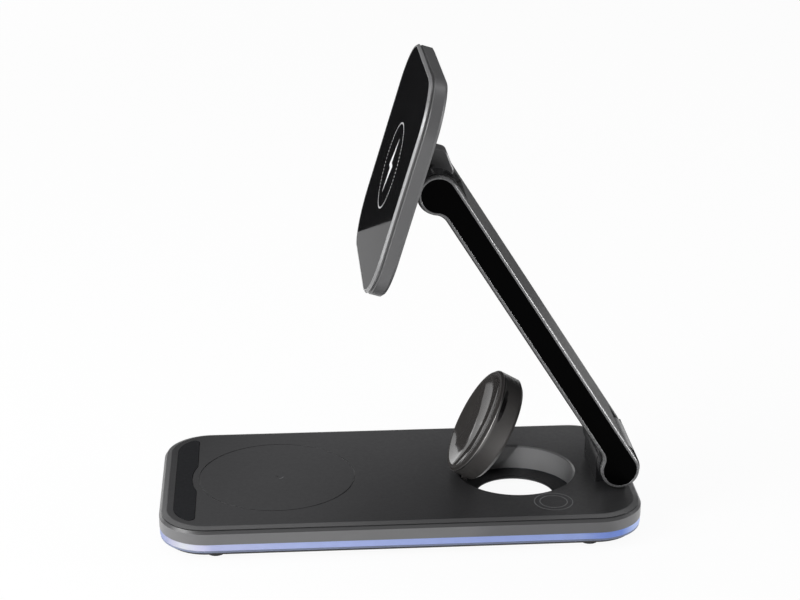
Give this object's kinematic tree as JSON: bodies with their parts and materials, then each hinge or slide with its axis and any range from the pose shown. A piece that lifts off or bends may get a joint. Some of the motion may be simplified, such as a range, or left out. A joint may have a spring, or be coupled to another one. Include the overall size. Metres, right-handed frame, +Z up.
{
  "type": "three in one wireless charger",
  "caption": "Flat charging base with an earbud spot and a round watch disc that flips up, and a folding arm with a tilting square magnetic phone pad.",
  "frame": {"origin": "on the table, under the middle of the overall length and width", "axes": "+X along the base towards the arm's hinge, +Y across the base, +Z up"},
  "size_m": [0.1504, 0.0724, 0.1452],
  "materials": {
    "top_plastic": "fine matte",
    "band": "satin grey",
    "light": "translucent",
    "floor_plastic": "fine matte",
    "rubber": "matte",
    "grip": "matte",
    "steel": "turned",
    "washer": "satin",
    "copper": "lacquered winding",
    "ferrite": "matte sheet",
    "magnet": "plated",
    "board": "solder mask",
    "chip": "moulded",
    "led_tape": "white tape",
    "lamp": "clear resin",
    "cable": "film",
    "black_core": "gloss black",
    "arm_back": "fine grain",
    "rim": "satin grey",
    "inlay": "gloss black",
    "pad_grey": "satin grey",
    "pad_edge": "satin grey",
    "bracket": "satin grey",
    "pad_face": "black gloss",
    "watch_grey": "satin dark grey",
    "watch_gloss": "gloss"
  },
  "bodies": {
    "base": {"base_bottom_cover": "floor_plastic", "rubber_feet": "rubber", "base_screws": "steel", "light_ring": "light", "base_frame": "band", "base_top_cover": "top_plastic", "grip_strip": "grip", "earbud_coil": "copper", "earbud_ferrite": "ferrite", "main_board": "board", "board_chips": "chip", "board_capacitors": "chip", "touch_sensor": "copper", "led_strip": "led_tape", "led_lamps": "lamp", "power_inlet": "steel", "power_inlet_tongue": "chip", "inlet_board": "board", "hinge_block": "black_core", "hinge_screws": "steel", "arm_hinge_pin": "steel", "arm_washers": "washer", "watch_hinge_pin": "steel"},
    "arm": {"arm_spine": "black_core", "arm_back_cover": "arm_back", "arm_cable": "cable", "arm_rim_front": "rim", "arm_rim_rear": "rim", "arm_inlay_front": "inlay", "arm_inlay_rear": "inlay", "pad_hinge_pin": "steel", "pad_washers": "washer"},
    "pad": {"pad_shell": "pad_grey", "pad_bezel": "pad_edge", "pad_glass": "pad_face", "pad_coil": "copper", "pad_ferrite": "ferrite", "pad_magnets": "magnet", "pad_board": "board", "pad_bracket": "bracket", "bracket_screws": "steel"},
    "watch": {"watch_shell": "watch_grey", "watch_back": "watch_grey", "watch_face": "watch_gloss", "watch_coil": "copper", "watch_magnet": "magnet", "watch_ferrite": "ferrite", "watch_board": "board"}
  },
  "joints": [
    {"name": "arm_fold", "type": "hinge", "parent": "base", "child": "arm", "pos_m": [0.06875, 0, 0.0173], "axis": [0, 1, 0], "range_deg": [-14, 0]},
    {"name": "pad_tilt", "type": "hinge", "parent": "arm", "child": "pad", "pos_m": [0.011, 0, 0.10815], "axis": [0, 1, 0], "range_deg": [-49.24, 45]},
    {"name": "watch_flip", "type": "hinge", "parent": "base", "child": "watch", "pos_m": [0.01595, 0, 0.00775], "axis": [0, 1, 0], "range_deg": [0, 60.6]}
  ]
}
